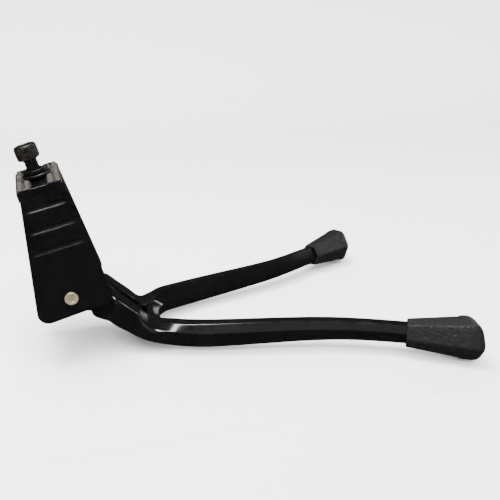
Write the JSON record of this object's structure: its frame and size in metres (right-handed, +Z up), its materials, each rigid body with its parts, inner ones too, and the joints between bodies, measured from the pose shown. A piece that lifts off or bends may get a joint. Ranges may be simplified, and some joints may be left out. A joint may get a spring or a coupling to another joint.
{
  "type": "double-leg kickstand",
  "caption": "Folding double-leg centre kickstand: toothed clamp housing with bolt, forked legs on a hinge with an over-centre spring, and rubber feet, shown folded.",
  "frame": {"origin": "centre of the clamp pad on the tooth tips, on the clamp bolt's axis", "axes": "+Z up along the clamp bolt, +X to the rear where the legs fold, +Y to the right-hand leg"},
  "size_m": [0.2962, 0.2656, 0.2174],
  "materials": {
    "housing_paint": "gloss black",
    "fork_paint": "gloss black",
    "zinc_steel": "zinc plated",
    "bush_bronze": "sintered",
    "black_oxide": "black oxide",
    "spring_steel": "zinc plated wire",
    "foot_rubber": "matte"
  },
  "bodies": {
    "base": {"housing": "housing_paint", "pivot_pin_left": "zinc_steel", "pivot_pin_right": "zinc_steel", "spring_anchor_pin": "zinc_steel", "flat_washer": "black_oxide", "lock_washer": "black_oxide"},
    "legs": {"fork": "fork_paint", "pivot_bush_left": "bush_bronze", "pivot_bush_right": "bush_bronze", "spring_hook_pin": "zinc_steel", "foot_left": "foot_rubber", "foot_right": "foot_rubber"},
    "spring": {"return_spring": "spring_steel"},
    "bolt": {"clamp_bolt": "black_oxide"}
  },
  "joints": [
    {"name": "leg_fold", "type": "hinge", "parent": "base", "child": "legs", "pos_m": [-0.0045, 0, -0.0837], "axis": [0, 1, 0], "range_deg": [0, 80]},
    {"name": "spring_swing", "type": "hinge", "parent": "base", "child": "spring", "pos_m": [-0.008, 0, -0.046], "axis": [0, 1, 0], "range_deg": [0, 46], "deforming": ["return_spring"]},
    {"name": "clamp_screw", "type": "slide", "parent": "base", "child": "bolt", "axis": [0, 0, 1], "range_m": [-0.005, 0.012]}
  ],
  "couplings": [
    {"joint": "spring_swing", "follows": "leg_fold", "ratio": 0.5644}
  ]
}
